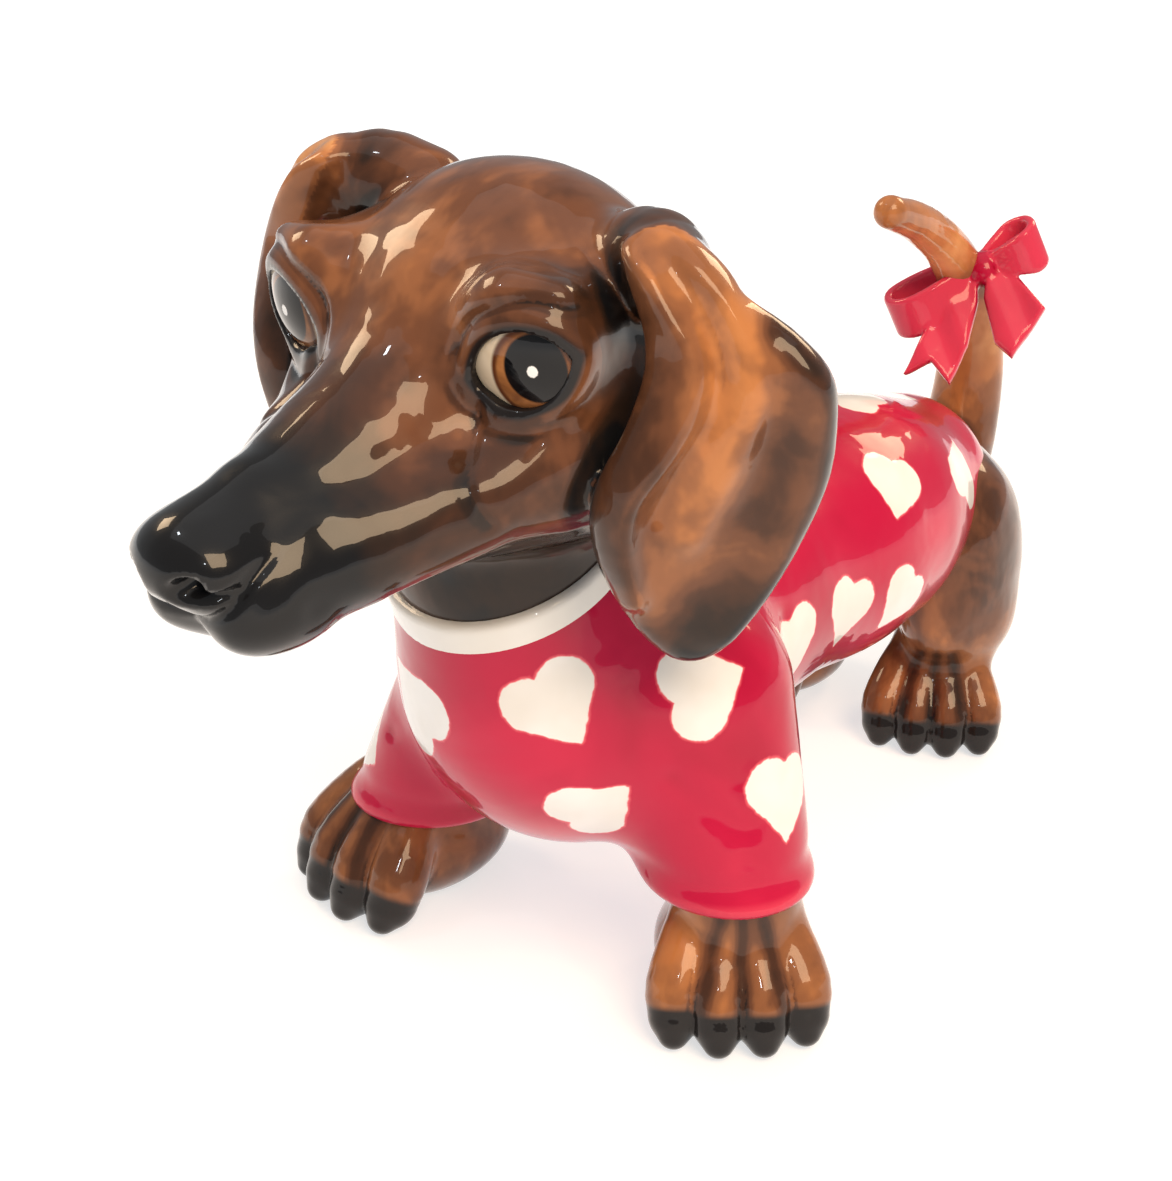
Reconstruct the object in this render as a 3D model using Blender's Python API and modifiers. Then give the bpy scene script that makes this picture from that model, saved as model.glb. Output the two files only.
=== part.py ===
"""A glazed ceramic dachshund in a knitted jumper with a bow on its tail, as separately made pieces.

The dog stands on the ground plane and faces -Y, with its own left side towards +X. Everything is
drawn in millimetres and scaled to metres when a mesh is made. The pieces are sculpted the way the
clay would be: egg shapes and tapered limbs pressed together, smoothed over, then trimmed where one
piece seats against the next.
"""

import math

import bmesh
import bpy
from mathutils import Euler, Matrix, Vector

MM = 0.001
GAP = 0.3  # clearance between two pieces that seat against each other
WALL = 4.0  # thickness of the slip-cast shells
OBJECT_NAME = "Dachshund_Figurine"

# Head: every point below with "head" in its comment is in the head frame, whose origin lies
# midway between the eyes, with the muzzle along -Y.
HEAD_ORIGIN = (-4.7, -85.4, 123.9)
HEAD_NOD = 22.0  # degrees, nose down
HEAD_TURN = -4.0  # degrees, towards the dog's right
EYE_CENTRE = (20.5, 3.2, 1.3)  # the left eyeball, head
EYE_RADII = (7.4, 5.2, 6.4)
EYE_TOE_OUT = 22.0
EYE_SOCKET = ((24.4, -8.4, 1.5), (11.5, 7.6, 10.0))  # degrees that each eyeball faces outwards

# Collar and neck
COLLAR_CENTRE = (-7.0, -61.0, 83.0)
COLLAR_TILT = 26.0
COLLAR_OUTER = 21.3
COLLAR_INNER = 17.0
COLLAR_HEIGHT = 6.9
NECK_RADIUS = 18.5
NECK_BORE = 12.5

# Feet: side, ankle position on the ground, outward turn in degrees
FRONT_FEET = (("left", (30.0, -47.0), 38.0), ("right", (-42.0, -52.5), -14.0))
REAR_FEET = (("left", (14.0, 64.0), 25.0), ("right", (-25.0, 60.0), -14.0))
WRISTS = {"left": (29.5, -46.5, 29.0), "right": (-35.5, -48.0, 28.0)}
HEM_HEIGHTS = {"left": 26.0, "right": 20.0}
TOE_OFFSETS = (-10.5, -3.6, 3.6, 10.5)
PAW_SIZES = {"front_left": 1.0, "front_right": 1.08, "rear": 0.96}
VENT_RADIUS = 4.0
VENT_POINT = (0.0, 10.0)

# Tail: centre line points and radius at each
TAIL_LINE = (
    ((0, 84, 42), 8.5), ((0, 95, 52), 8.6), ((0, 100, 66), 8.4), ((0, 100, 79), 7.6),
    ((0, 95.5, 91.5), 6.0), ((0, 83, 103.5), 4.9), ((0, 68, 112), 4.2), ((0, 54, 117), 3.4),
)

# Ear leaf: at each height in the head frame, how far its front and rear edges lie along the leaf
EAR_SPOT = (40.5, 7.0)
EAR_REAR = (0.559, 0.829)  # along the leaf towards its rear edge
EAR_OUT = (0.829, -0.559)  # away from the cheek
EAR_THICKNESS = 3.8
EAR_ROWS = (
    (8.0, 4.2, 7.6), (5.0, 3.6, 9.8), (1.0, 2.8, 11.6), (-3.0, 0.7, 15.1), (-7.5, -3.3, 17.7),
    (-12.0, -8.2, 18.2), (-16.5, -11.0, 17.8), (-21.0, -12.2, 16.7), (-25.5, -12.5, 15.2),
    (-30.0, -12.4, 12.6), (-34.5, -11.8, 9.6), (-39.0, -10.7, 5.6), (-43.0, -9.2, 1.4), (-46.0, -7.4, -2.4),
)
RIGHT_EAR_SHIFT = (2.0, 5.0, 1.5)

GLAZES = {
    "brown_glaze": ((0.20, 0.075, 0.03), 0.16), "ear_glaze": ((0.30, 0.12, 0.045), 0.16),
    "red_glaze": ((0.58, 0.015, 0.045), 0.14), "cream_glaze": ((0.86, 0.78, 0.66), 0.18),
    "eye_glaze": ((0.012, 0.01, 0.01), 0.06), "tail_glaze": ((0.42, 0.20, 0.07), 0.18),
}
WEARS = {
    "head_shell": "brown_glaze", "left_ear": "ear_glaze", "right_ear": "ear_glaze", "left_eye": "eye_glaze",
    "right_eye": "eye_glaze", "collar_band": "cream_glaze", "tail": "tail_glaze",
}

# Bow: where its knot sits, its axes, and its ribbon
BOW_POINT = (5.4, 89.6, 99.0)
BOW_WINGS = (0.768, 0.472, 0.433)
BOW_FACE = (0.237, -0.837, 0.493)
BOW_LEAN = 26.0
RIBBON = 1.0
# each loop: along the wings, depth, middle height and half width of the ribbon
LEFT_LOOP = (
    (-1.5, -0.8, 0.2, 2.8), (-9, -4.0, -1.8, 3.8), (-16.5, -4.6, -3.2, 4.5), (-20.6, -1.4, -2.6, 4.6),
    (-20.0, 2.8, -1.2, 4.6), (-14, 4.6, -0.2, 4.2), (-7, 3.6, 0.6, 3.4), (-1.5, 1.2, 0.6, 2.8),
)
RIGHT_LOOP = (
    (1.5, -0.8, 0.2, 2.8), (6, -3.4, 0.0, 3.8), (10.4, -4.2, -0.2, 4.8), (12.6, -1.4, 0.6, 5.0),
    (12.0, 2.4, 1.6, 5.0), (8.5, 4.4, 2.2, 4.4), (5, 3.6, 1.6, 3.6), (1.5, 1.2, 0.8, 2.8),
)

# Triangles kept for each kind of piece
DETAIL = {"shell": 1900, "head": 2600, "haunch": 1100, "ear": 800, "limb": 420, "paw": 1100, "small": 240,
          "ribbon": 420}


def clear_scene():
    for item in list(bpy.data.objects):
        bpy.data.objects.remove(item)


def new_collection(name):
    found = bpy.data.collections.new(name)
    bpy.context.scene.collection.children.link(found)
    return found


def glaze(name, colour, roughness):
    """A fired glaze: coloured, not metallic, more or less glossy."""
    material = bpy.data.materials.new(name)
    material.use_nodes = True
    shader = material.node_tree.nodes["Principled BSDF"]
    shader.inputs["Base Color"].default_value = (*colour, 1.0)
    shader.inputs["Roughness"].default_value = roughness
    shader.inputs["Metallic"].default_value = 0.0
    return material


def turned(x=0.0, y=0.0, z=0.0):
    return Euler((math.radians(x), math.radians(y), math.radians(z)), "XYZ").to_matrix().to_4x4()


def head_matrix():
    return Matrix.Translation(HEAD_ORIGIN) @ turned(z=HEAD_TURN) @ turned(x=HEAD_NOD)


def mirrored(shapes):
    """The same egg and limb shapes on the other side of the X = 0 plane of their frame."""
    found = []
    for shape in shapes:
        if shape[0] == "egg":
            _, (x, y, z), radii, (rx, ry, rz) = shape
            found.append(("egg", (-x, y, z), radii, (rx, -ry, -rz)))
        else:
            found.append(("hull", [((-x, y, z), radius) for (x, y, z), radius in shape[1]]))
    return found


def egg(centre, radii, turn=(0, 0, 0)):
    return ("egg", centre, radii, turn)


def hull(*balls):
    """The hull of (point, radius) balls."""
    return ("hull", list(balls))


def limb(start, end, start_radius, end_radius):
    return hull((start, start_radius), (end, end_radius))


def strand(points):
    """Limbs from each (point, radius) to the next."""
    return [limb(a, b, ra, rb) for (a, ra), (b, rb) in zip(points, points[1:])]


def add_egg(bm, frame, centre, radii, turn, grow):
    size = Matrix.Diagonal([radius + grow for radius in radii] + [1.0])
    spot = frame @ Matrix.Translation(centre) @ turned(z=turn[2]) @ turned(x=turn[0], y=turn[1])
    bmesh.ops.create_uvsphere(bm, u_segments=28, v_segments=18, radius=1.0, matrix=spot @ size)


def add_hull(bm, frame, balls, grow):
    spheres, skin = bmesh.new(), bmesh.new()
    for point, radius in balls:
        spot = frame @ Matrix.Translation(point)
        bmesh.ops.create_uvsphere(spheres, u_segments=20, v_segments=12, radius=radius + grow, matrix=spot)
    for vert in spheres.verts:
        skin.verts.new(vert.co)
    spheres.free()
    bmesh.ops.convex_hull(skin, input=skin.verts)
    bmesh.ops.delete(skin, geom=[v for v in skin.verts if not v.link_faces], context="VERTS")
    bmesh.ops.recalc_face_normals(skin, faces=skin.faces)
    mesh = bpy.data.meshes.new("hull")
    skin.to_mesh(mesh)
    skin.free()
    bm.from_mesh(mesh)
    bpy.data.meshes.remove(mesh)


def object_from(name, bm, collection):
    bmesh.ops.scale(bm, vec=(MM, MM, MM), verts=bm.verts)
    mesh = bpy.data.meshes.new(name)
    bm.to_mesh(mesh)
    bm.free()
    item = bpy.data.objects.new(name, mesh)
    collection.objects.link(item)
    return item


def baked(item):
    """Replaces an object's mesh with the result of its modifiers."""
    graph = bpy.context.evaluated_depsgraph_get()
    mesh = bpy.data.meshes.new_from_object(item.evaluated_get(graph))
    item.modifiers.clear()
    old, item.data = item.data, mesh
    bpy.data.meshes.remove(old)
    return item


def triangle_count(item):
    return sum(len(face.vertices) - 2 for face in item.data.polygons)


def voxelled(item, voxel, strokes):
    """Fuses what is in a mesh into one skin of even squares and strokes it smooth."""
    remesh = item.modifiers.new("Remesh", "REMESH")
    remesh.mode = "VOXEL"
    remesh.voxel_size = voxel * MM
    smooth = item.modifiers.new("Smooth", "SMOOTH")
    smooth.factor = 0.5
    smooth.iterations = strokes
    return baked(item)


def pushed(item, distance):
    push = item.modifiers.new("Push", "DISPLACE")
    push.strength = distance * MM
    push.mid_level = 0.0
    return baked(item)


def thinned(item, keep):
    thin = item.modifiers.new("Decimate", "DECIMATE")
    thin.ratio = min(1.0, keep / triangle_count(item))
    return baked(item)


def sculpted(name, shapes, collection, frame=None, voxel=1.3, fillet=0.0, keep=1000, grow=0.0):
    """Shapes pressed into one body with a fillet in the creases between them, then thinned.

    The fillet comes from swelling the shapes by its radius, fusing them and shrinking the skin
    back, which leaves the outer curves alone and rounds the inner ones.
    """
    frame = frame or Matrix.Identity(4)
    bm = bmesh.new()
    for shape in shapes:
        if shape[0] == "egg":
            add_egg(bm, frame, *shape[1:], grow + fillet)
        else:
            add_hull(bm, frame, shape[1], grow + fillet)
    item = voxelled(object_from(name, bm, collection), voxel, 4)
    if fillet:
        pushed(item, -fillet)
        voxelled(item, voxel, 4)
    return thinned(item, keep)


def cut(item, cutter):
    trim = item.modifiers.new("Trim", "BOOLEAN")
    trim.operation = "DIFFERENCE"
    trim.solver = "EXACT"
    trim.object = cutter
    return baked(item)


def swollen(item, cutters, by=GAP):
    """A copy of a piece, larger all round by the clearance, to seat a neighbour against."""
    copy = bpy.data.objects.new(item.name + "_seat", item.data.copy())
    cutters.objects.link(copy)
    push = copy.modifiers.new("Clearance", "DISPLACE")
    push.strength = by * MM
    push.mid_level = 0.0
    return baked(copy)


def box(name, low, high, collection):
    bm = bmesh.new()
    size = [b - a for a, b in zip(low, high)]
    middle = [(a + b) / 2 for a, b in zip(low, high)]
    bmesh.ops.create_cube(bm, size=1.0, matrix=Matrix.Translation(middle) @ Matrix.Diagonal(size + [1.0]))
    return object_from(name, bm, collection)


def rod(name, start, end, radius, collection):
    """A plain cylinder between two points."""
    start, end = Vector(start), Vector(end)
    along = end - start
    spot = Matrix.Translation((start + end) / 2) @ along.to_track_quat("Z", "Y").to_matrix().to_4x4()
    bm = bmesh.new()
    bmesh.ops.create_cone(bm, cap_ends=True, segments=40, radius1=radius, radius2=radius,
                          depth=along.length, matrix=spot)
    return object_from(name, bm, collection)


def collar_frame():
    return Matrix.Translation(COLLAR_CENTRE) @ turned(z=HEAD_TURN) @ turned(x=COLLAR_TILT)


def slab_below(name, frame, height, collection, flip=False):
    """A big block whose top face is the plane z = height of a frame, or its bottom face if flipped."""
    bm = bmesh.new()
    size = 300.0
    shift = height + (size / 2 if flip else -size / 2)
    spot = frame @ Matrix.Translation((0, 0, shift))
    bmesh.ops.create_cube(bm, size=size, matrix=spot)
    return object_from(name, bm, collection)


def head_shapes():
    """Skull, brow, bridge, muzzle, nose pad, cheeks, flews and lips, all in the head frame."""
    middle = [
        egg((0, 18.5, -11.5), (28.5, 26, 26.4)), egg((0, 9, -6), (25, 15, 14)),
        limb((0, 2, -13), (0, -36, -11.5), 16.5, 11.2), limb((0, -4, -7), (0, -38, -7), 10, 7.5),
        egg((0, -45.4, -2.6), (9.4, 7.3, 5.7)), limb((0, -24, -20), (0, 10, -24), 6, 13),
        limb((0, -44, -2), (0, -34, -2.5), 4.0, 4.5),
    ]
    side = [
        egg((20, 11, -17), (11, 20, 14)), egg((6.4, -37, -11.2), (8.2, 13, 8)),
        limb((10, -27, -13), (21, 2, -16), 7.5, 9), limb((19, 4, 8.5), (25, 6, 7), 3.7, 3.7),
        limb((4, -16, -23), (16, 8, -26), 5, 9),
    ]
    return middle + side + mirrored(side)


def neck_shapes():
    return [limb((-5, -62, 112), COLLAR_CENTRE, 20, NECK_RADIUS),
            limb(COLLAR_CENTRE, (-6, -55, 72), NECK_RADIUS, NECK_RADIUS)]


def ear_point(along, height):
    """A point of the leaf's middle in the head frame; above the cheek it leans in to the skull."""
    rise = max(height + 12.0, 0.0) / 23.5
    out = 1.2 - 14.0 * rise ** 1.6
    x = EAR_SPOT[0] + along * EAR_REAR[0] + out * EAR_OUT[0]
    y = EAR_SPOT[1] + along * EAR_REAR[1] + out * EAR_OUT[1]
    return (x, y, height)


def ear_shapes():
    """The dog's left ear in the head frame: a hanging leaf and the root that joins it to the skull."""
    rows = [[(ear_point(edge, height), EAR_THICKNESS) for edge in edges] for height, *edges in EAR_ROWS]
    leaf = [hull(*upper, *lower) for upper, lower in zip(rows, rows[1:])]
    root = strand((((21, 25, 0.5), 7.5), ((28, 23.5, 3.5), 7.2), ((33.5, 20.5, 2), 6.0)))
    return leaf + root


def moved(shapes, shift):
    """Shapes made of hulls, moved by a vector."""
    return [hull(*[(tuple(a + b for a, b in zip(point, shift)), radius) for point, radius in shape[1]])
            for shape in shapes]


def eye_shapes():
    return [egg(EYE_CENTRE, EYE_RADII, (0, 0, EYE_TOE_OUT))]


def torso_shapes():
    """Chest, barrel, loins and the neck of the jumper."""
    return [
        egg((-4, -48, 54), (27, 26, 27)), limb((-3, -38, 56), (0, 40, 56), 25, 22.5),
        limb((0, 30, 56), (0, 66, 55), 22, 20), limb((-5, -50, 60), (-7, -60, 80), 24, 20.5),
    ]


def sleeve_shapes(side):
    if side == "left":
        return [limb((18, -42, 56), (29.5, -47, 20), 16.5, 14.2)]
    return [limb((-24, -42, 52), (-40, -50, 14), 16, 13.6)]


def paw_shapes():
    """Pad, then four toes that run up the foot and their claws, about the ankle, toes along -Y."""
    shapes = [egg((0, 5.5, 9), (13.4, 16.5, 10))]
    for x in TOE_OFFSETS:
        back = abs(x)
        shapes += strand((((0.5 * x, 2.5, 20.5), 4.4), ((0.76 * x, 0.2 * back - 4.6, 15.8), 5.0),
                          ((x, 0.32 * back - 11.0, 9.8), 5.3), ((1.04 * x, 0.36 * back - 13.2, 5.6), 4.6)))
        claw, point = (1.04 * x, 0.36 * back - 13.9, 5.0), (1.07 * x, 0.38 * back - 15.8, 3.0)
        shapes.append(limb(claw, point, 4.8, 3.2))
    return shapes


def leg_shapes(frame, ankle_radius, top, top_radius):
    """The part of a leg that rises from its paw to a point given in the dog's frame."""
    size = frame.to_scale()[0]
    point = frame.inverted() @ Vector(top)
    return [limb((0, 2 / size, 12 / size), tuple(point), ankle_radius / size, top_radius / size)]


def hindquarter_shapes():
    """The bare rump with both haunches, hocks included."""
    shapes = [egg((0, 69, 50), (21, 24, 19.5))]
    for side, (x, y), _ in REAR_FEET:
        sign = 1 if side == "left" else -1
        shapes.append(egg((sign * 16, 68, 38), (12, 19, 23)))
        shapes.append(limb((sign * 16, 70, 27), (x, y + 5, 20), 10.5, 9.5))
    return shapes


def paw_frame(spot, turn, size):
    return Matrix.Translation((spot[0], spot[1], 0)) @ turned(z=turn) @ Matrix.Scale(size, 4)


def bow_frame():
    """X along the wings, -Y out towards the face of the bow."""
    wings, back = Vector(BOW_WINGS), -Vector(BOW_FACE)
    rows = Matrix((wings, back, wings.cross(back))).transposed().to_4x4()
    return Matrix.Translation(BOW_POINT) @ rows


def loop_shapes(stations):
    """A ribbon standing on edge round a loop, as hulls from each station to the next."""
    lean = turned(x=BOW_LEAN)
    rows = []
    for x, y, middle, half in stations:
        ends = [lean @ Vector((x, y, middle + side * (half - RIBBON))) for side in (-1, 1)]
        rows.append([(tuple(end), RIBBON) for end in ends])
    return [hull(*a, *b) for a, b in zip(rows, rows[1:])]


def end_shapes(root, tips):
    """A hanging ribbon end, as a hull from its root to each tip."""
    def ball(x, z):
        return ((x, -1.3 + 0.06 * (z + 8), z), 1.4)

    middle = ball(sum(x for x, _ in tips) * 0.36, sum(z for _, z in tips) * 0.36)
    return [hull(*[ball(*point) for point in root], middle, ball(*tip)) for tip in tips]


def knot_shapes():
    return [egg((0, -0.5, -0.5), (3.6, 3.4, 4.0)), egg((0, 4, 0), (5.5, 4.5, 3.2))]


def build_bodies(group, cutters):
    """Every piece at full size, before any piece is trimmed to its neighbours."""
    head = head_matrix()
    bodies = {}

    def make(name, shapes, keep, frame=None, voxel=1.3, fillet=0.0):
        bodies[name] = sculpted(name, shapes, group, frame, voxel, fillet, keep)

    into_head = head.inverted()
    neck = [hull(*[(tuple(into_head @ Vector(point)), radius) for point, radius in shape[1]])
            for shape in neck_shapes()]
    make("head_shell", head_shapes() + neck, DETAIL["head"], head, 1.2, 2.5)
    make("left_eye", eye_shapes(), DETAIL["small"], head, 0.8)
    make("right_eye", mirrored(eye_shapes()), DETAIL["small"], head, 0.8)
    make("left_ear", ear_shapes(), DETAIL["ear"], head, 1.2, 3.0)
    make("right_ear", mirrored(moved(ear_shapes(), RIGHT_EAR_SHIFT)), DETAIL["ear"], head, 1.2, 3.0)
    make("torso_shell", torso_shapes(), DETAIL["shell"], None, 1.6, 9.0)
    for side, spot, turn in FRONT_FEET:
        frame = paw_frame(spot, turn, PAW_SIZES[f"front_{side}"])
        shapes = paw_shapes() + leg_shapes(frame, 11.5, WRISTS[side], 10.5)
        make(f"front_{side}_paw", shapes, DETAIL["paw"], frame, 0.9, 0.8)
        make(f"front_{side}_sleeve", sleeve_shapes(side), DETAIL["limb"], None, 1.4)
    for side, spot, turn in REAR_FEET:
        frame = paw_frame(spot, turn, PAW_SIZES["rear"])
        shapes = paw_shapes() + leg_shapes(frame, 11.0, (spot[0], spot[1] + 4, 19), 10.0)
        make(f"rear_{side}_paw", shapes, DETAIL["paw"], frame, 0.9, 0.8)
    make("hindquarters", hindquarter_shapes(), DETAIL["haunch"], None, 1.4, 5.0)
    make("tail", strand(TAIL_LINE), DETAIL["limb"], None, 1.0, 3.0)
    bow = bow_frame()
    make("bow_knot", knot_shapes(), DETAIL["small"], bow, 0.7)
    make("bow_left_loop", loop_shapes(LEFT_LOOP), DETAIL["ribbon"], bow, 0.6, 0.4)
    make("bow_right_loop", loop_shapes(RIGHT_LOOP), DETAIL["ribbon"], bow, 0.6, 0.4)
    left = end_shapes(((-1.5, -2.5), (-9, -4.0)), ((-23.0, -15.4), (-15.0, -20.8)))
    right = end_shapes(((1.0, -2.5), (5.0, -5.0)), ((7.8, -14.5), (-1.5, -20.8)))
    make("bow_left_end", left, DETAIL["small"], bow, 0.6, 0.4)
    make("bow_right_end", right, DETAIL["small"], bow, 0.6, 0.4)
    return bodies


def build_collar(group):
    """A rounded band turned about the neck."""
    middle = (COLLAR_OUTER + COLLAR_INNER) / 2
    width = COLLAR_OUTER - COLLAR_INNER
    bm = bmesh.new()
    steps, corner = 16, 3.2
    ring = []
    for i in range(steps):
        angle = 2 * math.pi * i / steps
        c, s = math.cos(angle), math.sin(angle)
        x = middle + 0.5 * width * math.copysign(abs(c) ** (2 / corner), c)
        z = 0.5 * COLLAR_HEIGHT * math.copysign(abs(s) ** (2 / corner), s)
        ring.append(bm.verts.new((x, 0, z)))
    edges = [bm.edges.new((ring[i], ring[(i + 1) % steps])) for i in range(steps)]
    bmesh.ops.spin(bm, geom=ring + edges, cent=(0, 0, 0), axis=(0, 0, 1), angle=2 * math.pi, steps=48)
    bmesh.ops.remove_doubles(bm, verts=bm.verts, dist=0.001)
    bmesh.ops.recalc_face_normals(bm, faces=bm.faces)
    bmesh.ops.transform(bm, matrix=collar_frame(), verts=bm.verts)
    return object_from("collar_band", bm, group)


def hollow(bodies, cutters):
    """Opens the head through the neck, and the torso through its neck and a vent hole."""
    head = head_matrix()
    skull, chest = (0, 18, -12), (-4, -48, 58)
    sockets = [egg(*EYE_SOCKET, (0, 0, EYE_TOE_OUT))]
    for side, shapes in (("left", sockets), ("right", mirrored(sockets))):
        cut(bodies["head_shell"], sculpted(f"{side}_socket", shapes, cutters, head, 0.9, 0.0, 300))
    inside = [egg(skull, (22, 22, 20)), limb((0, 4, -11), (0, -26, -11.5), 13.5, 8)]
    cut(bodies["head_shell"], sculpted("head_cavity", inside, cutters, head, 1.8, 3.0, 500))
    below = collar_frame() @ Vector((0, 0, -40))
    cut(bodies["head_shell"], rod("neck_bore", head @ Vector(skull), below, NECK_BORE, cutters))
    inside = sculpted("torso_cavity", torso_shapes()[:3], cutters, None, 2.2, 6.0, 600, grow=-WALL)
    cut(bodies["torso_shell"], inside)
    above = collar_frame() @ Vector((0, 0, 30))
    cut(bodies["torso_shell"], rod("torso_bore", chest, above, NECK_BORE, cutters))
    x, y = VENT_POINT
    cut(bodies["torso_shell"], rod("vent_bore", (x, y, 5), (x, y, 56), VENT_RADIUS, cutters))


def trim(bodies, cutters):
    """Seats each piece against the ones that were laid before it."""
    frame = collar_frame()
    cut(bodies["head_shell"], slab_below("neck_foot", frame, 0.2, cutters))
    cut(bodies["torso_shell"], slab_below("torso_top", frame, -0.1, cutters, flip=True))
    low, wide = -60, 200
    ground = box("ground", (-wide, -wide, low), (wide, wide, 0), cutters)
    for side, height in HEM_HEIGHTS.items():
        hem = box(f"hem_{side}", (-wide, -wide, low), (wide, wide, height), cutters)
        cut(bodies[f"front_{side}_sleeve"], hem)
    for name in bodies:
        if name.endswith("paw"):
            cut(bodies[name], ground)
    order = (
        ("head_shell", ("left_eye", "right_eye")),
        ("left_ear", ("head_shell",)), ("right_ear", ("head_shell",)),
        ("collar_band", ("head_shell", "torso_shell", "left_ear", "right_ear")),
        ("left_ear", ("torso_shell",)), ("right_ear", ("torso_shell",)),
        ("front_left_paw", ("torso_shell",)), ("front_right_paw", ("torso_shell",)),
        ("hindquarters", ("torso_shell", "rear_left_paw", "rear_right_paw")),
        ("tail", ("torso_shell", "hindquarters")),
        ("bow_knot", ("tail",)), ("bow_right_loop", ("tail", "bow_knot")),
        ("bow_left_loop", ("tail", "bow_knot")),
        ("bow_right_end", ("tail", "bow_knot", "bow_right_loop", "bow_left_loop")),
        ("bow_left_end", ("tail", "bow_knot", "bow_right_loop", "bow_left_loop", "bow_right_end")),
        ("front_left_sleeve", ("torso_shell", "front_left_paw")),
        ("front_right_sleeve", ("torso_shell", "front_right_paw")),
    )
    for name, neighbours in order:
        for other in neighbours:
            seat = swollen(bodies[other], cutters)
            cut(bodies[name], seat)
            bpy.data.objects.remove(seat)


def keep_largest(item):
    """Drops crumbs that a trim leaves behind."""
    bm = bmesh.new()
    bm.from_mesh(item.data)
    bmesh.ops.remove_doubles(bm, verts=bm.verts, dist=1e-6)
    seen, parts = set(), []
    for start in bm.verts:
        if start in seen:
            continue
        part, stack = [], [start]
        seen.add(start)
        while stack:
            vert = stack.pop()
            part.append(vert)
            for edge in vert.link_edges:
                other = edge.other_vert(vert)
                if other not in seen:
                    seen.add(other)
                    stack.append(other)
        parts.append(part)
    parts.sort(key=len)
    for part in parts[:-1]:
        bmesh.ops.delete(bm, geom=part, context="VERTS")
    bm.to_mesh(item.data)
    bm.free()


def finish(bodies):
    for name, item in bodies.items():
        keep_largest(item)
        item.data.materials.clear()
        base = WEARS.get(name)
        if not base:
            red = name.startswith(("bow", "torso")) or name.endswith("sleeve")
            base = "red_glaze" if red else "brown_glaze"
        colour, roughness = GLAZES[base]
        item.data.materials.append(glaze(f"{name}_{base}", colour, roughness))
        for face in item.data.polygons:
            face.use_smooth = True


def centre_on_origin(bodies):
    """Moves the whole dog so that the middle of its underside box is the origin."""
    corners = [v.co for item in bodies.values() for v in item.data.vertices]
    middle = [(min(c[i] for c in corners) + max(c[i] for c in corners)) / 2 for i in range(2)]
    shift = Matrix.Translation((-middle[0], -middle[1], -min(c[2] for c in corners)))
    for item in bodies.values():
        item.data.transform(shift)


def main():
    clear_scene()
    group = new_collection(OBJECT_NAME)
    cutters = new_collection("Cutters")
    bodies = build_bodies(group, cutters)
    bodies["collar_band"] = build_collar(group)
    hollow(bodies, cutters)
    trim(bodies, cutters)
    finish(bodies)
    centre_on_origin(bodies)
    for item in cutters.objects:
        item.hide_render = True
        item.display_type = "WIRE"


main()
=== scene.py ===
import math

import bpy
import numpy as np
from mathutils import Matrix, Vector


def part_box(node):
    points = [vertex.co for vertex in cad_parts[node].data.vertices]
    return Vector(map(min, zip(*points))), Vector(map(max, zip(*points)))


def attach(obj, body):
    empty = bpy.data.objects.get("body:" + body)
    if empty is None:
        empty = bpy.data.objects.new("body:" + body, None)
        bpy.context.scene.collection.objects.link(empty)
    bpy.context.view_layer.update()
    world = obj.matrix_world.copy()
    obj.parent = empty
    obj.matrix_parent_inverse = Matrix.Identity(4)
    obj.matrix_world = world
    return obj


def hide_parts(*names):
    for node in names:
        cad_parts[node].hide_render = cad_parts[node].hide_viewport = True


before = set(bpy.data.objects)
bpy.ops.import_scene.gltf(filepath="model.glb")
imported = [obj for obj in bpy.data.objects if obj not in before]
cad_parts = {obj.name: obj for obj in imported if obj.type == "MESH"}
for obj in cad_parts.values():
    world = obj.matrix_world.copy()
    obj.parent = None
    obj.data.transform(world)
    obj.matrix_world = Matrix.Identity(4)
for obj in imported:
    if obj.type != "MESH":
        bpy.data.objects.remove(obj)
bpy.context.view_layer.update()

import openvdb
from mathutils import Matrix, Vector

F = np.float32


# ---------------------------------------------------------------- clay: distances in millimetres
def vec(*values):
    return np.array(values, dtype=F)


def turned(x=0.0, y=0.0, z=0.0):
    """Rotation by x, then y, then z degrees, whose columns are the turned axes."""
    x, y, z = (math.radians(a) for a in (x, y, z))
    rx = np.array([[1, 0, 0], [0, math.cos(x), -math.sin(x)], [0, math.sin(x), math.cos(x)]])
    ry = np.array([[math.cos(y), 0, math.sin(y)], [0, 1, 0], [-math.sin(y), 0, math.cos(y)]])
    rz = np.array([[math.cos(z), -math.sin(z), 0], [math.sin(z), math.cos(z), 0], [0, 0, 1]])
    return (rz @ ry @ rx).astype(F)


def join(a, b, k):
    """Union with a fillet about k wide."""
    h = np.maximum(k - np.abs(a - b), 0) / k
    return np.minimum(a, b) - h * h * k * 0.25


def carve(a, b, k):
    """a with b taken away, the edge rounded over about k."""
    return -join(-a, b, k)


def ball(p, centre, radius):
    return np.linalg.norm(p - vec(*centre), axis=-1) - radius


def egg(p, centre, radii):
    """Distance to an ellipsoid, near enough beside its surface."""
    q, r = p - vec(*centre), vec(*radii)
    near = np.linalg.norm(q / r, axis=-1)
    return near * (near - 1) / np.maximum(np.linalg.norm(q / (r * r), axis=-1), 1e-9)


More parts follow.
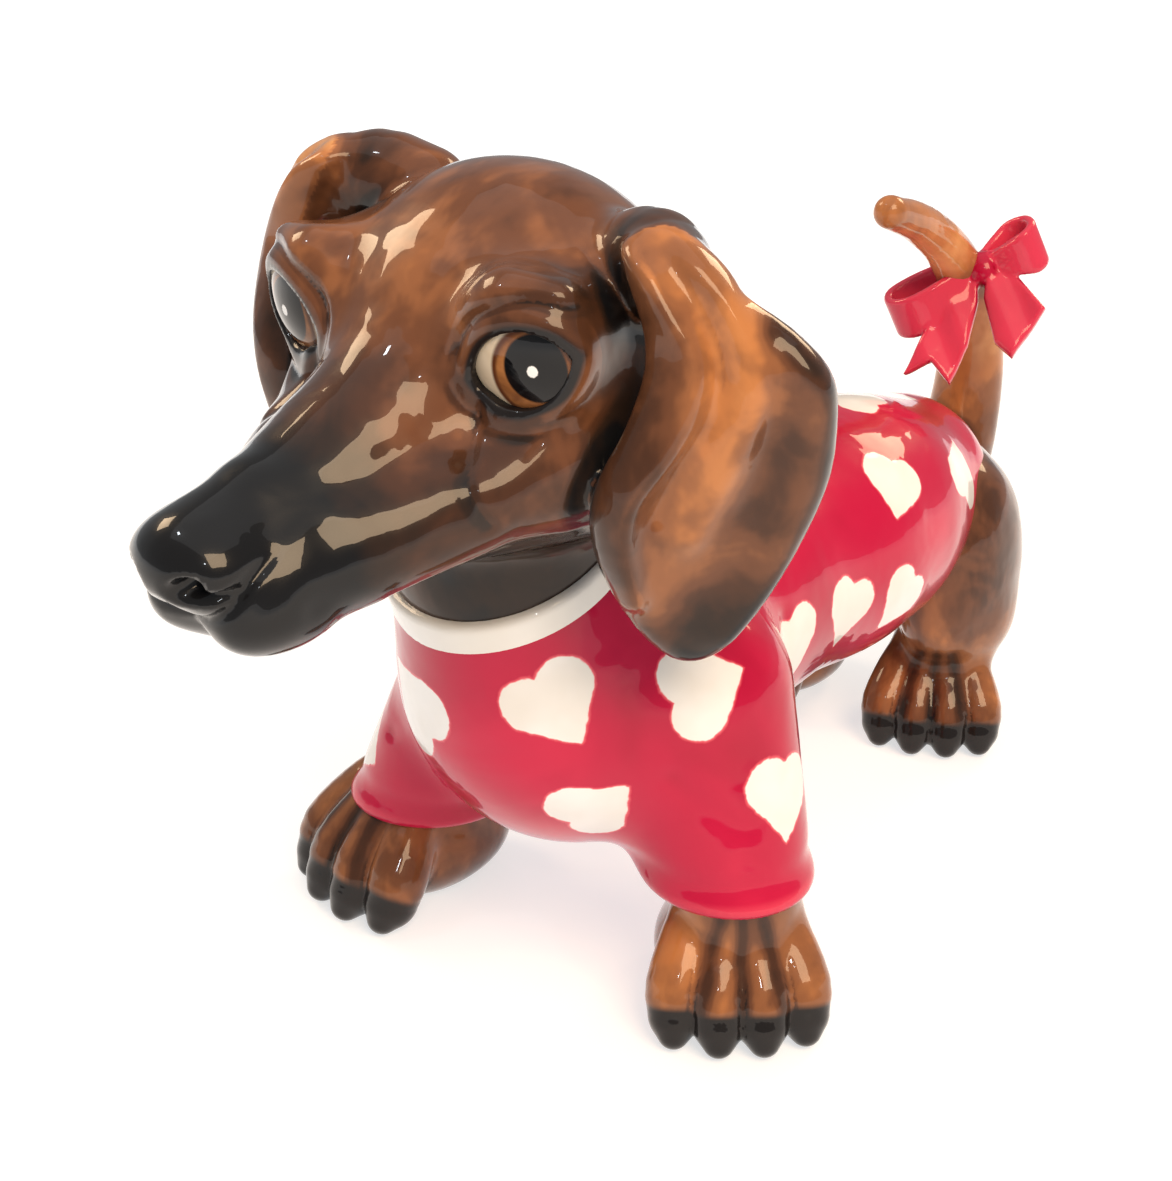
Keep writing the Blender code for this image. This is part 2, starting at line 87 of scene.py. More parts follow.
def limb(p, start, end, ra, rb):
    """Distance to the hull of two balls."""
    a, b = vec(*start), vec(*end)
    ba = b - a
    l2 = float(ba @ ba)
    rr = ra - rb
    a2, il2 = l2 - rr * rr, 1 / l2
    pa = p - a
    y = pa @ ba
    z = y - l2
    x2 = ((pa * l2 - y[..., None] * ba) ** 2).sum(-1)
    y2, z2 = y * y * l2, z * z * l2
    k = np.sign(rr) * rr * rr * x2
    body = (np.sqrt(np.maximum(x2 * a2 * il2, 0)) + y * rr) * il2 - ra
    low = np.sqrt(x2 + y2) * il2 - ra
    high = np.sqrt(x2 + z2) * il2 - rb
    return np.where(np.sign(z) * a2 * z2 > k, high, np.where(np.sign(y) * a2 * y2 < k, low, body))


def smooth_line(points, steps):
    """Rows sampled from the smooth curve through rows of points."""
    rows = np.array(points, float)
    rows = np.vstack([2 * rows[0] - rows[1], rows, 2 * rows[-1] - rows[-2]])
    t = np.linspace(0, 1, steps, endpoint=False)[:, None]
    out = []
    for a, b, c, d in zip(rows, rows[1:], rows[2:], rows[3:]):
        out.append(0.5 * (2 * b + (c - a) * t + (2 * a - 5 * b + 4 * c - d) * t * t
                          + (3 * b - a - 3 * c + d) * t ** 3))
    return np.vstack(out + [rows[-2][None]]).astype(F)


def strand(p, points, steps=5):
    """Distance to a rope along a smooth line of (x, y, z, radius) rows."""
    rows = smooth_line(points, steps)
    best = None
    for start, end in zip(rows, rows[1:]):
        ba = end[:3] - start[:3]
        h = np.clip(((p - start[:3]) @ ba) / max(float(ba @ ba), 1e-9), 0, 1)
        gone = np.linalg.norm(p - start[:3] - h[..., None] * ba, axis=-1)
        d = gone - (start[3] + h * (end[3] - start[3]))
        best = d if best is None else np.minimum(best, d)
    return best


def mirrored(p):
    return np.concatenate([np.abs(p[..., :1]), p[..., 1:]], -1)


def fade(value, low, high):
    """0 below low, 1 above high, eased between; low may be the greater."""
    t = np.clip((value - low) / (high - low), 0, 1)
    return t * t * (3 - 2 * t)


# ---------------------------------------------------------------- the dog's frame and main sizes
HEAD_ORIGIN = vec(-4.7, -85.4, 123.9)
HEAD_AXES = turned(z=-4.0) @ turned(x=22.0)
EYE_CENTRE = (20.5, 3.2, 1.3)
COLLAR_CENTRE = vec(-7.0, -61.0, 83.0)
COLLAR_AXES = turned(z=-4.0) @ turned(x=26.0)
# Each foot's (x, y) on the ground and the way it turns about Z, in degrees
FRONT_FEET = {"left": ((30.0, -47.0), 38.0), "right": ((-42.0, -52.5), -14.0)}
REAR_FEET = {"left": ((14.0, 64.0), 25.0), "right": ((-25.0, 60.0), -14.0)}
WRISTS = {"left": (29.5, -46.5, 29.0), "right": (-35.5, -48.0, 28.0)}
HEMS = {"left": 26.0, "right": 20.0}  # how high the sleeves end
# The tail's middle line and its radius there
TAIL = ((0, 84, 42, 8.5), (0, 95, 52, 8.6), (0, 100, 66, 7.9), (0, 100, 79, 7.1), (0, 95.5, 91.5, 6.0),
        (0, 83, 103.5, 4.9), (0, 68, 112, 4.2), (0, 54, 117, 3.4))


def to_head(p):
    return (p - HEAD_ORIGIN) @ HEAD_AXES


# ---------------------------------------------------------------- marks drawn on a flat patch
def flat_gap(a, b, start, run):
    """Distance in a plane from (a, b) to the straight stretch that runs on from start."""
    h = np.clip(((a - start[0]) * run[0] + (b - start[1]) * run[1]) / max(float(run @ run), 1e-9), 0, 1)
    return np.hypot(a - start[0] - h * run[0], b - start[1] - h * run[1])


def flat_line(a, b, points, steps=6):
    """Distance in a plane from (a, b) to a smooth line of points."""
    rows = smooth_line(points, steps)
    best = None
    for start, end in zip(rows, rows[1:]):
        gone = flat_gap(a, b, start, end - start)
        best = gone if best is None else np.minimum(best, gone)
    return best


def flat_outline(a, b, points, steps=3):
    """Distance in a plane to a closed smooth outline, negative inside."""
    rows = smooth_line(points + points[:1], steps)
    gone, inside = None, np.zeros(a.shape, bool)
    for start, end in zip(rows, rows[1:]):
        run = end - start
        d = flat_gap(a, b, start, run)
        gone = d if gone is None else np.minimum(gone, d)
        crosses = (start[1] > b) != (end[1] > b)
        if start[1] != end[1]:
            inside ^= crosses & (a < start[0] + (b - start[1]) * run[0] / run[1])
    return np.where(inside, -gone, gone)


def charted(low, high, step, chart):
    """A function of (a, b) that reads a chart worked out once on a flat grid."""
    counts = [int((high[i] - low[i]) / step) + 2 for i in (0, 1)]
    grid = np.meshgrid(*[low[i] + step * np.arange(counts[i]) for i in (0, 1)], indexing="ij")
    values = chart(*[g.astype(F) for g in grid]).astype(F)

    def read(a, b):
        x = np.clip((a - low[0]) / step, 0, counts[0] - 1.001)
        y = np.clip((b - low[1]) / step, 0, counts[1] - 1.001)
        i, j = x.astype(int), y.astype(int)
        x, y = x - i, y - j
        return ((values[i, j] * (1 - x) + values[i + 1, j] * x) * (1 - y)
                + (values[i, j + 1] * (1 - x) + values[i + 1, j + 1] * x) * y)
    return read


def hump(distance, width):
    return np.exp(-(distance / width) ** 2)


# ---------------------------------------------------------------- head
EYE_OUT = vec(0.255, -0.952, 0.17)  # the way the left eye faces, head frame
EYE_SIDE = vec(0.966, 0.259, 0.0)
EYE_UP = np.cross(EYE_OUT, EYE_SIDE)
EYE_FRONT = vec(23.0, -2.0, 1.4)
EYE_BALL = 14.0  # radius of the eyeball
EYE_PROUD = 0.5  # how far it stands out past the middle of its opening
EYE_RIM = 8.4
LID = 1.0  # thickness of the eyelids
TEAR_LINE = [(-6.6, -0.8), (-7.4, -4.6), (-7.3, -9.0), (-5.4, -13.0), (-3.6, -18.0)]


def eye_plane(m):
    """Across, up and forward coordinates about the middle of the left eye's opening."""
    q = m - EYE_FRONT
    return q @ EYE_SIDE, q @ EYE_UP, q @ EYE_OUT


def eye_opening(u, v):
    """Negative inside the almond between the lids, where two round arcs meet."""
    v = v - 0.10 * u
    return np.maximum(np.hypot(u, v + 2.1) - 7.9, np.hypot(u + 0.3, v - 2.4) - 7.9)


def head_form(q):
    """Skull, muzzle, cheeks, jaw, lips and brows; q is in the head frame."""
    m = mirrored(q)
    d = egg(q, (0, 18.5, -11.5), (28.5, 26, 26))
    d = join(d, egg(q, (0, 9, -6), (25, 15, 14)), 6)
    d = join(d, limb(q, (0, 2, -13), (0, -36, -11.5), 16.5, 11.2), 7)
    d = join(d, limb(q, (0, -4, -7), (0, -38, -7), 10, 7.5), 5)
    d = join(d, egg(m, (20, 11, -17), (11, 20, 14)), 8)
    d = join(d, limb(q, (0, -24, -20), (0, 10, -24), 6, 13), 5)
    d = join(d, egg(m, (6.4, -37.0, -11.2), (8.2, 13, 8.0)), 5)
    d = join(d, limb(m, (10, -27, -13), (21, 2, -16), 7.5, 9), 4)
    d = join(d, limb(m, (4, -16, -23), (16, 8, -26), 5, 9), 5)
    return join(d, limb(m, (19, 4, 8.5), (25, 6, 7), 3.7, 3.7), 9)


# The crease under the nose, across and up, and the dimple beside it
NOSE_EDGE = [(0, -9.0), (4.5, -8.6), (8.4, -6.6), (10.2, -3.5)]
WHISKER_DIMPLE = (12.5, -39.5, -11.5)


def nose_form(q, d):
    """The head with its nose leather, nostrils, their slits and the groove down to the lip."""
    m = mirrored(q)
    d = join(d, egg(q, (0, -45.4, -2.6), (9.4, 6.8, 5.7)), 4.5)
    d = join(d, limb(q, (0, -44, -2), (0, -34, -2.5), 4.0, 4.5), 5)
    under = flat_line(m[..., 0], q[..., 2], NOSE_EDGE)
    d = d + 0.7 * hump(under, 0.9) * fade(q[..., 1], -38, -43)
    d = carve(d, limb(m, (4.2, -52.5, -2.6), (5.6, -48.0, -2.4), 2.0, 1.8), 1.2)
    d = carve(d, limb(m, (6.0, -50.5, -3.6), (9.8, -46.0, -4.8), 1.0, 0.6), 0.9)
    d = carve(d, limb(q, (0, -52.5, -5.5), (0, -50.5, -15.5), 0.6, 1.1), 1.8)
    return d + 0.9 * hump(ball(q, WHISKER_DIMPLE, 0), 3.0) * (q[..., 0] > 0)


def face_marks(m):
    """How far the lids, the brow's crease and the tear lines sink (or, below zero, swell)."""
    u, v, w = eye_plane(m)
    gap = eye_opening(u, v)
    facing = fade(w, -8, -4)
    above, below = fade(v, -1.5, 3.5), fade(v, 1.0, -4.0)
    sink = 0.50 * hump(gap - 3.4, 1.0) * above - 0.55 * hump(gap - 6.0, 2.2) * above
    sink = sink + 0.30 * hump(gap - 3.4, 1.1) * below - 0.20 * hump(gap - 1.8, 1.2)
    sink = sink + 0.40 * hump(flat_line(u, v, TEAR_LINE), 1.0)
    sink = sink - 0.30 * hump(flat_line(u - 2.4, v, TEAR_LINE), 1.9)
    return sink * facing


def eyes_form(m, d):
    """The head with soft sockets, lids that follow the eyeballs, and the openings between them."""
    u, v, w = eye_plane(m)
    gap = eye_opening(u, v)
    socket = egg(np.stack([u, v, w], -1), (-1.0, 0, 7.6), (11.5, 10.0, 7.6))
    d = carve(d, socket, 4)
    swell = ball(m, EYE_FRONT - EYE_OUT * EYE_BALL, EYE_BALL) - LID
    swell = -join(-swell, EYE_RIM + 0.8 - np.hypot(u, v), 2.0)
    d = join(d, swell, 3.5)
    return carve(d, np.maximum(gap, -w - 5), 0.8)


# The ear's leaf is a bent slab; its chart runs rearward and up.
EAR_SPOT = vec(40.5, 7.0, 0.0)
EAR_REAR = vec(0.559, 0.829, 0.0)
EAR_OUT = vec(0.829, -0.559, 0.0)
# Its outline and the lines of its relief: rolled front edge, groove, rib, fold and hanging lobe
EAR_EDGE = [(5, 11.5), (9.5, 10), (13.3, 5), (14.6, 1.5), (18.7, -3.5), (21.5, -9), (21.5, -15), (19, -25),
            (14, -33), (6, -42), (-1, -47.5), (-6, -49.5), (-10.5, -47), (-14, -39), (-16, -28),
            (-15.5, -20), (-12.5, -13.5), (-7, -8), (-1.8, -2), (0, 3), (0.5, 8), (1.5, 11)]
EAR_ROLL = [(1.5, 10), (3.2, 4), (3.5, -1), (0.5, -6), (-5, -11), (-10.5, -16), (-13, -23), (-13.5, -32)]
EAR_GROOVE = [(5.8, 10), (7.6, 3.5), (7.4, -3), (4, -9), (-2, -14.5), (-7, -20.5)]
EAR_RIB = [(9.5, 8), (11.2, 1.5), (10.6, -5), (7.5, -12), (2, -18), (-3, -25)]
EAR_FOLD = [(14, 3), (15.0, -4), (12.2, -12), (9.8, -19), (6.5, -25)]
EAR_LOBE = [(18, -7), (17.5, -14), (14.5, -22), (10.5, -30), (5, -37.5), (-2, -44)]
EAR_THICK, EAR_ROUND = 3.4, 3.0
RIGHT_EAR_SHIFT = vec(2.0, 5.0, 1.5)
EAR_CHART = ((-22, -56), (30, 20), 0.5)  # the chart's corners and spacing
ear_edge = charted(*EAR_CHART, lambda a, b: flat_outline(a, b, EAR_EDGE))
ear_relief = charted(*EAR_CHART, lambda a, b: (
    1.9 * hump(flat_line(a, b, EAR_ROLL), 2.2) - 1.3 * hump(flat_line(a, b, EAR_GROOVE), 1.7)
    + 1.2 * hump(flat_line(a, b, EAR_RIB), 3.0) - 0.9 * hump(flat_line(a, b, EAR_FOLD), 2.6)
    + 1.7 * hump(flat_line(a, b, EAR_LOBE), 4.2)))


def ear_chart(e):
    """Rearward, up and outward coordinates of the leaf, and how far up its bend a point is."""
    q = e - EAR_SPOT
    rise = np.maximum(q[..., 2] + 12, 0) / 23.5
    return q @ EAR_REAR, q[..., 2], q @ EAR_OUT + 14 * rise ** 1.6, rise


def ear_form(e):
    """A hanging ear; e is in the head frame, mirrored for the right ear."""
    a, b, out, rise = ear_chart(e)
    relief = ear_relief(a, b)
    half = EAR_THICK + relief / 2
    lean = 1 / np.sqrt(1 + (0.95 * rise ** 0.6) ** 2)
    side = ear_edge(a, b) + EAR_ROUND
    deep = (np.abs(out - relief / 2) - half) * lean + EAR_ROUND
    inside = np.minimum(np.maximum(side, deep), 0)
    leaf = np.hypot(np.maximum(side, 0), np.maximum(deep, 0)) + inside - EAR_ROUND
    root = strand(e, ((21, 25, 0.5, 7.5), (28, 23.5, 3.5, 7.2), (33.5, 20.5, 2.0, 6.0)), 3)
    return join(leaf, root, 4)


def ear_side(q):
    """The right ear is set a little further out, back and up than the left."""
    return mirrored(q) - np.where(q[..., :1] < 0, RIGHT_EAR_SHIFT, vec(0, 0, 0))


def head_field(p):
    """The whole head with ears and neck, as a distance in the dog's frame."""
    q = to_head(p)
    m = mirrored(q)
    d = nose_form(q, head_form(q))
    d = eyes_form(m, d) + face_marks(m)
    near = m[..., 0] > 16
    if near.any():
        d[near] = join(d[near], ear_form(ear_side(q[near])), 2.5)
    return join(d, neck_form(p), 7)


def neck_form(p):
    """The neck, cut off just under the collar."""
    d = join(limb(p, (-5, -62, 112), COLLAR_CENTRE, 20, 18.5),
             limb(p, COLLAR_CENTRE, (-6, -55, 72), 18.5, 18.5), 4)
    return np.maximum(d, -((p - COLLAR_CENTRE) @ COLLAR_AXES)[..., 2] - 1.5)


def head_tone(p):
    """0 is black glaze, 0.5 brown, 1 orange tan."""
    q = to_head(p)
    m = mirrored(q)
    u, v, w = eye_plane(m)
    gap = eye_opening(u, v)
    x, y, z = m[..., 0], q[..., 1], q[..., 2]
    tone = 0.47 - 0.08 * fade(z, 2, -14) + 0.05 * fade(z, 6, 14)
    tone = tone - 0.16 * fade(gap, 4.5, 0.5) * fade(w, -8, -4)
    # painted shadow: the sides of the head behind the eyes are darkened where the ears shade them
    tone = tone - 0.16 * fade(x, 22, 29) * fade(y, 2, 10)
    along = y - 0.55 * z
    tone = tone * (0.04 + 0.96 * fade(along, -35, -15))
    tone = tone * (0.50 + 0.50 * fade(z + 0.12 * y, -27, -20))
    near = x > 28
    if near.any():
        e = ear_side(q[near])
        a, b, out, _ = ear_chart(e)
        on = fade(ear_edge(a, b), 1.5, 0.0) * fade(ear_form(e), 1.5, 0.3)
        warm = 0.57 + 0.26 * hump(flat_line(a, b, EAR_RIB + [(-3, -30)]), 7.0) * fade(b, -42, -22)
        warm = warm - 0.34 * fade(b, -32, -44) - 0.22 * fade(a - 0.3 * b, 3.0, -7.0)
        warm = warm - 0.20 * hump(flat_line(a, b, EAR_FOLD) - 1.0, 3.5) * fade(b, 2, -10)
        rear = flat_line(a, b, EAR_LOBE)
        warm = warm - 0.34 * fade(ear_edge(a, b), -4.5, -1.0) * fade(rear, 9, 5)
        warm = np.where(out < -1, 0.38, warm)
        tone[near] = tone[near] * (1 - on) + warm * on
    return tone


def head_lid(p):
    """Distance to the dark line painted round the eye's opening."""
    u, v, w = eye_plane(mirrored(to_head(p)))
    return np.where(w > -7, eye_opening(u, v) - 0.5 * fade(u, 2, 7), 9.0)


def eyeball_field(p):
    m = mirrored(to_head(p))
    u, v, w = eye_plane(m)
    body = ball(m, EYE_FRONT - EYE_OUT * (EYE_BALL - EYE_PROUD), EYE_BALL)
    return np.maximum(np.maximum(body, np.hypot(u, v) - EYE_RIM + 0.4), -w - 4.5)


def oval(p, middle, radii):
    """1 on an oval's edge; middle is across on the left eye, up, and across on the right eye."""
    u, v, _ = eye_plane(mirrored(to_head(p)))
    outward = np.where(to_head(p)[..., 0] > 0, middle[0], middle[2])
    return np.hypot((u - outward) / radii[0], (v - middle[1]) / radii[1])


# ---------------------------------------------------------------- collar and jumper
def collar_field(p):
    """A flat band with rounded edges that tapers a little towards the head."""
    q = (p - COLLAR_CENTRE) @ COLLAR_AXES
    radius, half_thick, half_tall, edge = 19.6, 1.6, 3.4, 1.1
    out = np.hypot(q[..., 0], q[..., 1]) - radius + 0.10 * q[..., 2]
    return np.hypot(np.maximum(np.abs(out) - half_thick + edge, 0),
                    np.maximum(np.abs(q[..., 2]) - half_tall + edge, 0)) - edge


def torso_form(p):
    """Chest, barrel, loins and neck of the jumper, before the sleeves."""
    d = egg(p, (-4, -48, 54), (27, 26, 27))
    d = join(d, limb(p, (-3, -38, 56), (0, 40, 56), 25, 22.5), 14)
    d = join(d, limb(p, (0, 30, 56), (0, 66, 55), 22, 20), 14)
    return join(d, limb(p, (-5, -50, 60), (-7, -60, 80), 24, 20.5), 14)


# Creases where the sleeves bend: a line of points, how deep and how wide
ARM_CREASES = [
    ([(24, -24, 66), (25, -27, 56), (24, -29, 46), (22, -31, 38)], 1.0, 1.9),
    ([(22, -19, 62), (24, -20, 52), (22, -22, 42)], 0.7, 1.7),
    ([(25, -60, 50), (31, -58, 44), (36, -54, 41)], 0.35, 2.2),
    ([(37, -55, 36), (43, -49, 34), (43, -40, 35)], 0.3, 2.0),
    ([(-30, -66, 44), (-36, -60, 38), (-41, -52, 35)], 0.6, 1.8),
    ([(-24, -26, 60), (-27, -30, 48), (-26, -34, 38)], 0.9, 1.9),
]


def jumper_field(p):
    """Torso and sleeves, with rolled hems, cut off at the collar's foot."""
    d = torso_form(p)
    sleeves = []
    for side, arm in (("left", limb(p, (18, -42, 56), (29.5, -47, 20), 16.2, 14.2)),
                      ("right", limb(p, (-24, -42, 52), (-40, -50, 14), 16, 13.6))):
        over = p[..., 2] - HEMS[side]
        cuff = 0.35 * hump(over - 1.6, 1.8) - 0.35 * hump(over - 5.4, 2.0)
        sleeves.append(-join(-(arm - cuff), over, 1.6))
    d = join(join(d, sleeves[0], 8), sleeves[1], 8)
    for line, depth, width in ARM_CREASES:
        d = d + depth * hump(strand(p, [(*point, 0) for point in line], 2), width)
    return np.maximum(d, ((p - COLLAR_CENTRE) @ COLLAR_AXES)[..., 2] - 0.5)


# Each heart: its tip, its notch, and the way it faces.
HEARTS = [
    ((14.6, -70.5, 58.1), (8.3, -74.4, 69.1), (0.52, -0.86, 0.05)),
    ((29.9, -47.4, 66.6), (24.3, -58.8, 63.3), (0.71, -0.57, 0.40)),
    ((40.2, -47.6, 37.4), (36.8, -44.0, 49.5), (0.97, -0.05, 0.24)),
    ((20.0, -64.8, 48.8), (10.5, -68.3, 40.9), (0.57, -0.72, -0.39)),
    ((-21.5, -71.0, 63.5), (-11.5, -76.0, 53.0), (-0.35, -0.93, -0.10)),
    ((21.5, -15.0, 47.5), (21.7, -17.5, 60.5), (1, 0, 0)),
    ((20.8, 1.0, 47.7), (22.2, 5.4, 59.3), (1, 0, 0)),
    ((22.4, 20.9, 67.2), (16.9, 28.3, 75.5), (0.76, -0.1, 0.64)),
    ((15.8, 58.2, 70.9), (22.9, 51.4, 62.5), (0.86, 0.26, 0.45)),
    ((-7.0, 41.0, 80.0), (5.0, 43.5, 80.8), (0.0, 0.1, 0.99)),
    ((3.0, -6.0, 80.0), (14.0, -1.0, 74.0), (0.5, 0.0, 0.85)),
    ((22.4, 16.7, 45.5), (23.4, 24.6, 54.7), (0.97, -0.16, -0.18)),
    ((-23.0, -22.0, 66.0), (-24.5, -12.0, 58.0), (-0.97, 0, 0.2)),
    ((-23.0, 14.0, 48.0), (-22.5, 6.0, 58.0), (-1, 0, 0)),
    ((-16.0, 20.0, 75.0), (-21.5, 30.0, 69.0), (-0.75, 0, 0.65)),
    ((-22.0, 46.0, 50.0), (-21.5, 53.0, 60.0), (-1, 0.1, 0)),
    ((-40.5, -60.0, 30.0), (-50.0, -51.0, 34.0), (-0.75, -0.6, 0.2)),
    ((-8.0, -30.0, 82.0), (-16.0, -38.0, 79.0), (-0.4, 0, 0.9)),
    ((4.0, 66.0, 76.0), (-6.0, 60.0, 77.0), (-0.1, 0.2, 0.95)),
    ((4.0, -22.0, 31.0), (-6.0, -16.0, 31.5), (0, 0, -1)),
    ((-4.0, 24.0, 33.5), (6.0, 30.0, 33.5), (0, 0, -1)),
]


def heart_gap(p):
    """Distance to the nearest painted heart's edge, negative inside."""
    best = np.full(len(p), 20.0, F)
    for tip, notch, faces in HEARTS:
        tip, notch, faces = vec(*tip), vec(*notch), vec(*faces)
        size = float(np.linalg.norm(notch - tip))
        up = (notch - tip) / size
        side = np.cross(up, faces)
        side = side / np.linalg.norm(side)
        near = np.nonzero(np.linalg.norm(p - (tip + notch) / 2, axis=-1) < 1.4 * size)[0]
        q = (p[near] - tip) / size
        x, y = np.abs(q @ side), q @ up
        lobe = np.hypot(x - 0.25, y - 0.75) - math.sqrt(2) / 4
        half = 0.5 * np.maximum(x + y, 0)
        low = np.sqrt(np.minimum(x * x + (y - 1) ** 2, (x - half) ** 2 + (y - half) ** 2)) * np.sign(x - y)
        d = np.where(x + y > 1, lobe, low) * size
        best[near] = np.minimum(best[near], d)
    return best


# ---------------------------------------------------------------- feet, rump, tail and bow
TOES = (-10.5, -3.6, 3.6, 10.5)  # each toe's place across the foot
SIZES = {"front_left": 1.0, "front_right": 1.08, "rear": 0.96}


def paw_axes(p, spot, turn):
    """The foot's own frame: origin on the ground under the ankle, toes along -Y."""
    return (p - vec(spot[0], spot[1], 0)) @ turned(z=turn)


def toe_line(x):
    """A toe from the instep to the claw; outer toes sit further back."""
    b = abs(x)
    return ((0.5 * x, 2.5, 20.5, 4.4), (0.76 * x, 0.2 * b - 4.6, 15.8, 5.0),
            (1.0 * x, 0.32 * b - 11.0, 9.8, 5.3), (1.04 * x, 0.36 * b - 13.2, 5.6, 4.6))


def claw_gap(q):
    """Distance to the nearest claw's solid."""
    best = None
    for x in TOES:
        b = abs(x)
        d = limb(q, (1.04 * x, 0.36 * b - 13.9, 5.0), (1.07 * x, 0.38 * b - 15.8, 3.0), 4.4, 2.8)
        best = d if best is None else np.minimum(best, d)
    return best


def paw_form(p, spot, turn, top, ankle, reach, size):
    """Pad, toes, claws and a leg that rises to the point top; ankle and reach are its radii."""
    q = paw_axes(p, spot, turn) / size
    d = egg(q, (0, 5.5, 9), (13.4, 16.5, 10))
    d = join(d, limb(p, (spot[0], spot[1] + 2, 12), top, ankle, reach) / size, 5)
    toes = None
    for x in TOES:
        toe = strand(q, toe_line(x), 3)
        toes = toe if toes is None else join(toes, toe, 0.8)
    d = join(d, toes, 1.5)
    d = join(d, claw_gap(q), 0.6) * size
    return -join(-d, p[..., 2], 1.0)


def hind_form(p):
    """Rump, haunches and hocks."""
    d = egg(p, (0, 69, 50), (21, 24, 19.5))
    for side, (spot, _) in REAR_FEET.items():
        s = 1 if side == "left" else -1
        d = join(d, egg(p, (s * 16, 68, 38), (12, 19, 23)), 8)
        d = join(d, limb(p, (s * 16, 70, 27), (spot[0], spot[1] + 5, 20), 10.5, 9.5), 6)
    return d


def hind_field(p):
    d = join(hind_form(p), strand(p, TAIL), 4)
    for spot, turn in REAR_FEET.values():
        d = join(d, paw_form(p, spot, turn, (spot[0], spot[1] + 4, 19), 11.0, 10.0, SIZES["rear"]), 3)
    return d


ALL_FEET = ([(*foot, SIZES[f"front_{side}"]) for side, foot in FRONT_FEET.items()]
            + [(*foot, SIZES["rear"]) for foot in REAR_FEET.values()])


def foot_claws(p):
    """Distance to the nearest claw of any foot."""
    gap = None
    for spot, turn, size in ALL_FEET:
        d = claw_gap(paw_axes(p, spot, turn) / size)
        gap = d if gap is None else np.minimum(gap, d)
    return gap


def foot_tone(p):
    """Tone of the feet, darker between the toes, and of the rump and tail."""
    tone = 0.60 - 0.12 * fade(p[..., 2], 12, 3)
    for spot, turn, size in ALL_FEET:
        q = paw_axes(p, spot, turn) / size
        on = fade(np.linalg.norm(q - vec(0, -4, 10), axis=-1), 26, 20)
        for x in (-7.0, 0.0, 7.0):
            groove = [(0.5 * x, 24), (0.76 * x, 16), (1.0 * x, 9), (1.05 * x, 3)]
            between = hump(flat_line(q[..., 0], q[..., 2], groove, 2), 1.3) * fade(q[..., 1], 4, 0)
            tone = tone - 0.36 * on * between
    rump = fade(p[..., 2], 26, 34) * fade(p[..., 1], 30, 50)
    tail = 0.20 * fade(p[..., 2], 60, 80) + 0.10 * fade(p[..., 2], 92, 104)
    return tone * (1 - rump) + rump * (0.52 + tail)


# Bow: where its knot sits, its axes, the ribbon loops as (across, deep, middle, half width) rows, and the
# outlines of its two hanging ends
BOW_POINT = vec(5.4, 89.6, 99.0)
BOW_AXES = np.array([[0.768, -0.237, -0.595], [0.472, 0.837, 0.276], [0.433, -0.493, 0.755]], F)
BOW_LEAN = 26.0
RIBBON = 1.0  # half its thickness in the loops
BOW_LEFT_LOOP = [(-1.5, -0.8, 0.2, 2.8), (-9, -4.0, -1.8, 3.8), (-16.5, -4.6, -3.2, 4.5),
                 (-20.6, -1.4, -2.6, 4.6), (-20.0, 2.8, -1.2, 4.6), (-14, 4.6, -0.2, 4.2),
                 (-7, 3.6, 0.6, 3.4), (-1.5, 1.2, 0.6, 2.8)]
BOW_RIGHT_LOOP = [(1.5, -0.8, 0.2, 2.8), (6, -3.4, 0.0, 3.8), (10.4, -4.2, -0.2, 4.8), (12.6, -1.4, 0.6, 5.0),
                  (12.0, 2.4, 1.6, 5.0), (8.5, 4.4, 2.2, 4.4), (5, 3.6, 1.6, 3.6), (1.5, 1.2, 0.8, 2.8)]
BOW_LEFT_END = [(-1.5, -1.5), (-8, -2.5), (-14, -6.5), (-24, -15.8), (-17.4, -15.6), (-15.6, -21.8),
                (-9, -15.5), (-3.5, -7)]
BOW_RIGHT_END = [(0.5, -1.5), (5.9, -4.5), (8.8, -14.5), (4.4, -17.6), (-1.5, -21.8), (-3.6, -17), (-2.2, -7)]
# Pleats pinched in beside the knot, each from a point to a point
BOW_PLEATS = (((-3.2, -3.4, 1.8), (-9, -6.5, 0.6)), ((3.2, -3.4, 1.8), (8, -6.0, 1.6)),
              ((-3.0, -3.2, -2.0), (-8, -6.5, -4.0)), ((3.0, -3.2, -1.8), (8, -6.0, -3.2)))


def band_loop(q, rows):
    """A folded ribbon loop: a flat tube, hollow through its height."""
    rows = smooth_line(rows, 5)
    best = None
    for start, end in zip(rows, rows[1:]):
        run = end[:2] - start[:2]
        h = np.clip(((q[..., :2] - start[:2]) @ run) / max(float(run @ run), 1e-9), 0, 1)
        gone = np.linalg.norm(q[..., :2] - start[:2] - h[..., None] * run, axis=-1)
        mid = start[2] + h * (end[2] - start[2])
        tall = start[3] + h * (end[3] - start[3])
        up = np.abs(q[..., 2] - mid) - tall + RIBBON
        d = np.hypot(np.maximum(gone, 0), np.maximum(up, 0)) - RIBBON
        best = d if best is None else np.minimum(best, d)
    return best


